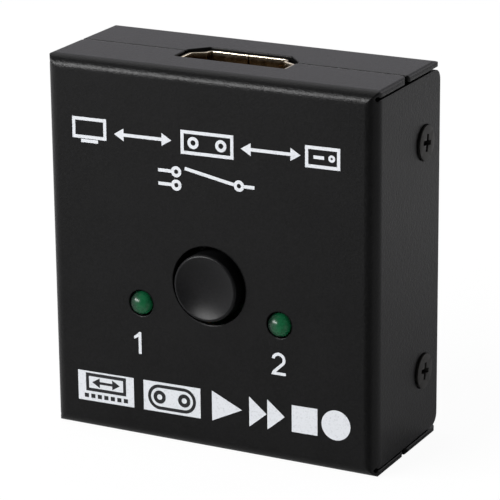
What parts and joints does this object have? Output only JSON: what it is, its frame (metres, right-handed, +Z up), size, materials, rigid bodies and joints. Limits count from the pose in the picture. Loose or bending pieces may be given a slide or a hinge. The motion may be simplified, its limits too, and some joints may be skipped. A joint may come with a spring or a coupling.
{
  "type": "video switch box",
  "caption": "Upright folded-metal switch box with keyed video sockets on its top and underside, a round dished push button and green lamps on its front.",
  "frame": {"origin": "middle of the footprint, on the surface that the box stands on", "axes": "+Z up, front face towards -Y, +X to the right of someone facing the front"},
  "size_m": [0.0456, 0.0198, 0.0485],
  "materials": {
    "coat": "satin black powder coat, finely grained",
    "black_screw": "black plated steel",
    "gold": "gold plated",
    "steel": "bright zinc plated",
    "tin": "tinned",
    "board": "green solder mask",
    "button": "satin black moulding",
    "pale_plastic": "natural moulding",
    "black_plastic": "black moulding",
    "lens": "tinted diffusing resin",
    "chip": "moulded epoxy",
    "ceramic": "sintered ceramic"
  },
  "bodies": {
    "enclosure": {"front_cover": "coat", "rear_cover": "coat", "case_screws": "black_screw", "board_standoffs": "steel", "board_screws": "steel", "circuit_board": "board", "switch_spring": "steel", "switch_latch_pin": "steel", "switch_housing": "black_plastic", "switch_base": "black_plastic", "switch_terminals": "tin", "lamp_1": "lens", "lamp_2": "lens", "lamp_1_leads": "tin", "lamp_2_leads": "tin", "routing_chip": "chip", "protection_chips": "chip", "chip_resistors": "chip", "chip_capacitors": "ceramic", "common_socket_shell": "gold", "common_socket_insulator": "black_plastic", "common_socket_contacts": "gold", "port_1_socket_shell": "gold", "port_1_socket_insulator": "black_plastic", "port_1_socket_contacts": "gold", "port_2_socket_shell": "gold", "port_2_socket_insulator": "black_plastic", "port_2_socket_contacts": "gold"},
    "button": {"button_cap": "button", "switch_plunger": "pale_plastic", "switch_wipers": "gold"}
  },
  "joints": [
    {"name": "button_press", "type": "slide", "parent": "enclosure", "child": "button", "axis": [0, 1, 0], "range_m": [0, 0.0016], "stiffness_N_per_m": 600, "springref_m": -0.002, "deforming": ["switch_spring"]}
  ]
}
